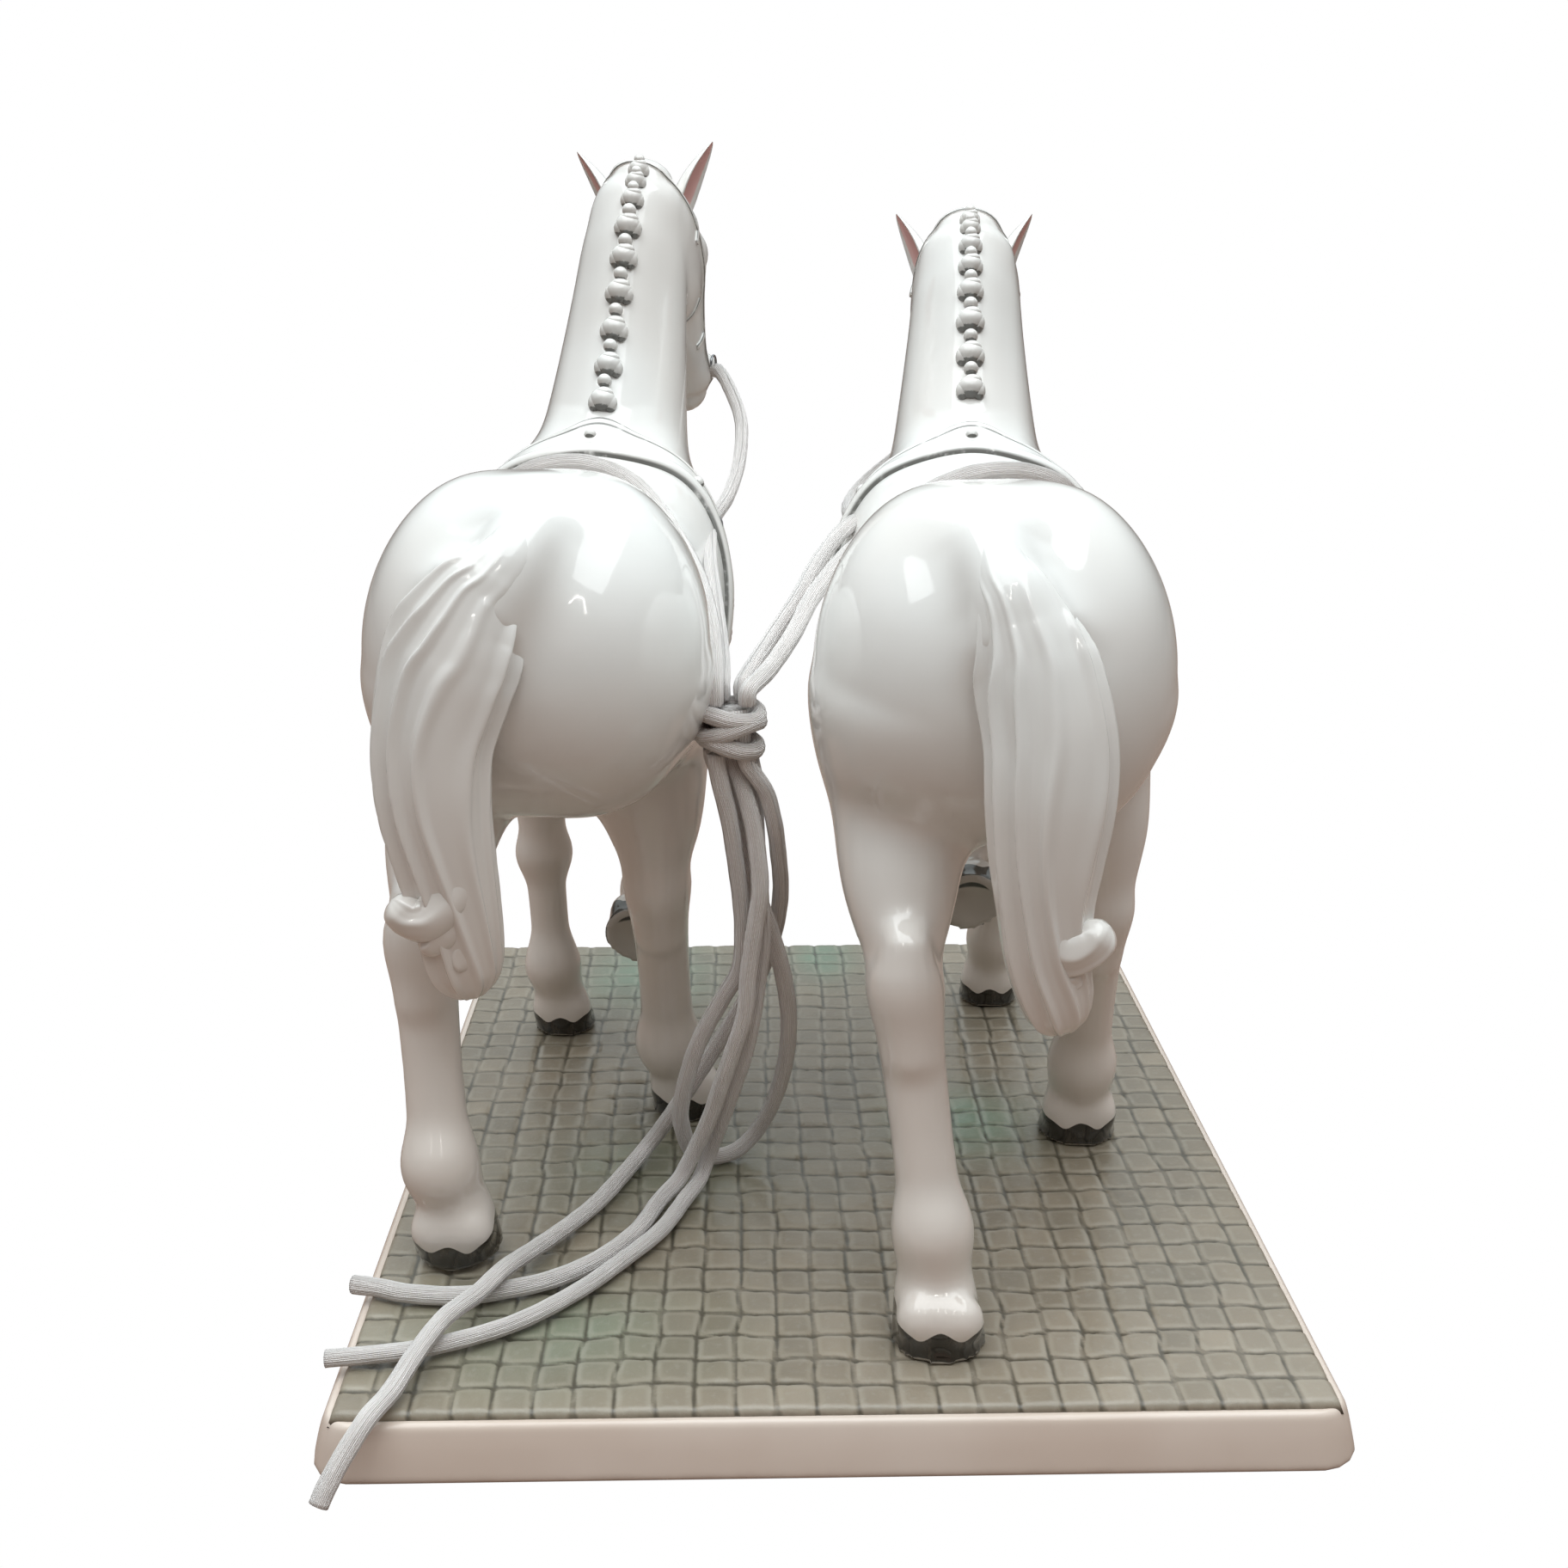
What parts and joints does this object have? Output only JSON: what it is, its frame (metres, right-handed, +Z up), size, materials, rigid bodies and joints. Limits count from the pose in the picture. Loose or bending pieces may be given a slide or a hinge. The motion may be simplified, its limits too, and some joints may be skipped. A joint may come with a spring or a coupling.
{
  "type": "porcelain pair of driving horses",
  "caption": "Glazed porcelain figure group: a pair of walking driving horses in harness on a cobbled plinth, with cord reins gathered in one knot.",
  "frame": {"origin": "under the middle of the group's box with the cord reins left out, on the surface the group stands on", "axes": "+Y the way the horses walk, +Z up, +X to their right (off) side"},
  "size_m": [0.26, 0.3487, 0.3254],
  "materials": {
    "porcelain": "clear gloss glaze over white porcelain, hooves painted brown-black",
    "harness": "white gloss glaze, edges lined in grey, domed studs",
    "mane": "white gloss glaze, rolls outlined in dark grey",
    "plinth_glaze": "smooth warm cream glaze",
    "cobbles": "satin grey-brown glaze with green washes, dark joints",
    "wire": "thin darkened wire",
    "cord": "satin braid with fine lengthwise threads",
    "pads": "matte black"
  },
  "bodies": {
    "root": {"plinth": "plinth_glaze", "cobble_paving": "cobbles", "pad_front_left": "pads", "pad_front_right": "pads", "pad_back_left": "pads", "pad_back_right": "pads", "near_barrel": "porcelain", "near_neck_and_head": "porcelain", "near_hind_leg_near": "porcelain", "near_hind_leg_off": "porcelain", "near_fore_leg_near": "porcelain", "near_fore_leg_off": "porcelain", "near_tail": "porcelain", "near_ear_left": "porcelain", "near_ear_right": "porcelain", "near_girth": "harness", "near_breast_strap": "harness", "near_bridle": "harness", "near_mane_plaits": "mane", "near_terret_left": "wire", "near_terret_right": "wire", "near_bit_ring_left": "wire", "near_bit_ring_right": "wire", "off_barrel": "porcelain", "off_neck_and_head": "porcelain", "off_hind_leg_near": "porcelain", "off_hind_leg_off": "porcelain", "off_fore_leg_near": "porcelain", "off_fore_leg_off": "porcelain", "off_tail": "porcelain", "off_ear_left": "porcelain", "off_ear_right": "porcelain", "off_girth": "harness", "off_breast_strap": "harness", "off_bridle": "harness", "off_mane_plaits": "mane", "off_terret_left": "wire", "off_terret_right": "wire", "off_bit_ring_left": "wire", "off_bit_ring_right": "wire", "rein_near_outer_upper": "cord", "rein_near_outer_lower": "cord", "rein_near_inner_upper": "cord", "rein_near_inner_lower": "cord", "rein_off_inner_upper": "cord", "rein_off_inner_lower": "cord", "rein_off_outer_upper": "cord", "rein_off_outer_lower": "cord", "rein_knot": "cord"}
  },
  "joints": []
}
